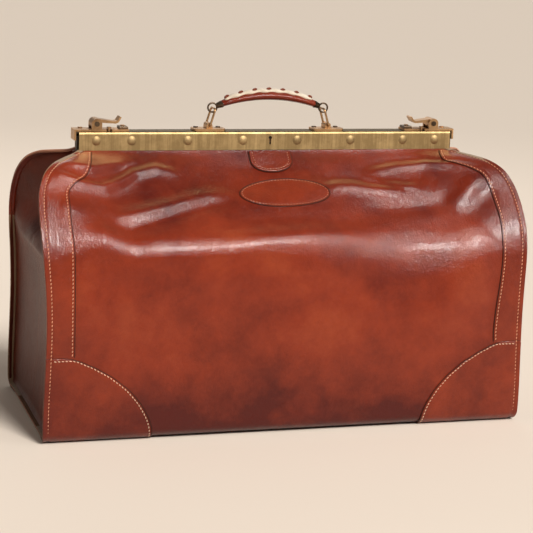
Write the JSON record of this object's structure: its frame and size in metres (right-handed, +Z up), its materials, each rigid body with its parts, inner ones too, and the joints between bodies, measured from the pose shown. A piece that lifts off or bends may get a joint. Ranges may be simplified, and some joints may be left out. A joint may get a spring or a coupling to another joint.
{
  "type": "doctor_bag",
  "caption": "Leather doctor bag with a riveted antique brass frame, flick-up clasps, keyed lock, laced grip handle, stitched corner patches and seam strips.",
  "frame": {"origin": "bottom centre of the bag, on the surface it stands on", "axes": "+X along the rails to the right, -Y to the front with the lock, +Z up"},
  "size_m": [0.53, 0.236, 0.3558],
  "materials": {
    "panel_leather": "glossy",
    "trim_leather": "glossy",
    "gusset_leather": "glossy",
    "lining_fabric": "matte",
    "board": "matte",
    "antique_brass": "brushed",
    "dark_bronze": "satin",
    "frame_steel": "satin",
    "pivot_steel": "brushed",
    "handle_core_cord": "matte",
    "lacing_leather": "matte"
  },
  "bodies": {
    "root": {"base_panel": "panel_leather", "base_board": "board", "front_panel": "panel_leather", "back_panel": "panel_leather", "gusset_left": "gusset_leather", "gusset_right": "gusset_leather", "front_shoulder": "panel_leather", "back_shoulder": "panel_leather", "gusset_fold_front_left": "gusset_leather", "gusset_fold_front_right": "gusset_leather", "gusset_fold_back_left": "gusset_leather", "gusset_fold_back_right": "gusset_leather", "corner_patch_front_left": "trim_leather", "corner_patch_front_right": "trim_leather", "corner_patch_back_left": "trim_leather", "corner_patch_back_right": "trim_leather", "side_strip_front_left": "trim_leather", "side_strip_front_right": "trim_leather", "side_strip_back_left": "trim_leather", "side_strip_back_right": "trim_leather", "oval_patch": "trim_leather", "lining": "lining_fabric", "pocket_panel": "lining_fabric", "hinge_tab_left": "frame_steel", "hinge_tab_right": "frame_steel", "hinge_pins": "pivot_steel"},
    "front_jaw": {"front_rail": "antique_brass", "front_inner_frame": "frame_steel", "front_rivets": "antique_brass", "lock_tab": "trim_leather", "lock_case": "frame_steel", "clasp_keeper_left": "antique_brass", "clasp_keeper_right": "antique_brass"},
    "back_jaw": {"back_rail": "antique_brass", "back_inner_frame": "frame_steel", "back_rivets": "antique_brass", "clasp_plate_left": "antique_brass", "clasp_plate_right": "antique_brass", "clasp_pin_left": "dark_bronze", "clasp_pin_right": "dark_bronze", "clasp_block_left": "dark_bronze", "clasp_block_right": "dark_bronze", "clasp_screws": "dark_bronze", "handle_plate_left": "antique_brass", "handle_plate_right": "antique_brass", "handle_plate_screws": "dark_bronze", "lock_strike": "frame_steel"},
    "clasp_lever_left": {"clasp_lever_left": "antique_brass"},
    "clasp_lever_right": {"clasp_lever_right": "antique_brass"},
    "bail_left": {"bail_left": "antique_brass"},
    "bail_right": {"bail_right": "antique_brass"},
    "lock_cam": {"lock_cam": "antique_brass"},
    "lock_bolt": {"lock_bolt": "pivot_steel"},
    "handle": {"handle_core": "handle_core_cord", "handle_grip": "trim_leather", "handle_lacing": "lacing_leather", "handle_ferrule_left": "dark_bronze", "handle_ferrule_right": "dark_bronze", "handle_ring_left": "dark_bronze", "handle_ring_right": "dark_bronze"}
  },
  "joints": [
    {"name": "front_jaw_open", "type": "hinge", "parent": "root", "child": "front_jaw", "pos_m": [0, 0, 0.217], "axis": [1, 0, 0], "range_deg": [0, 45], "deforming": ["front_shoulder", "gusset_fold_front_left", "gusset_fold_front_right", "side_strip_front_left", "side_strip_front_right", "oval_patch"]},
    {"name": "back_jaw_open", "type": "hinge", "parent": "root", "child": "back_jaw", "pos_m": [0, 0, 0.217], "axis": [-1, 0, 0], "range_deg": [0, 45], "deforming": ["back_shoulder", "gusset_fold_back_left", "gusset_fold_back_right", "side_strip_back_left", "side_strip_back_right"]},
    {"name": "clasp_left_lift", "type": "hinge", "parent": "back_jaw", "child": "clasp_lever_left", "pos_m": [-0.1915, 0, 0.317], "axis": [0, -1, 0], "range_deg": [0, 95]},
    {"name": "clasp_right_lift", "type": "hinge", "parent": "back_jaw", "child": "clasp_lever_right", "pos_m": [0.1915, 0, 0.317], "axis": [0, 1, 0], "range_deg": [0, 95]},
    {"name": "bail_left_swing", "type": "hinge", "parent": "back_jaw", "child": "bail_left", "pos_m": [-0.0675, 0, 0.3146], "axis": [0, 1, 0], "range_deg": [-25, 25]},
    {"name": "bail_right_swing", "type": "hinge", "parent": "back_jaw", "child": "bail_right", "pos_m": [0.0675, 0, 0.3146], "axis": [0, 1, 0], "range_deg": [-25, 25]},
    {"name": "handle_pivot", "type": "hinge", "parent": "bail_left", "child": "handle", "pos_m": [-0.062, 0, 0.333], "axis": [0, 1, 0], "range_deg": [-27.5, 27.5]},
    {"name": "lock_cam_turn", "type": "hinge", "parent": "front_jaw", "child": "lock_cam", "pos_m": [0, -0.009, 0.2995], "axis": [0, 1, 0], "range_deg": [0, 90]},
    {"name": "lock_bolt_slide", "type": "slide", "parent": "front_jaw", "child": "lock_bolt", "axis": [1, 0, 0], "range_m": [0, 0.005]}
  ],
  "couplings": [
    {"joint": "bail_right_swing", "follows": "bail_left_swing", "ratio": 1},
    {"joint": "handle_pivot", "follows": "bail_left_swing", "ratio": -1.098},
    {"joint": "lock_cam_turn", "follows": "lock_bolt_slide", "rad_per_m": 314.16}
  ]
}
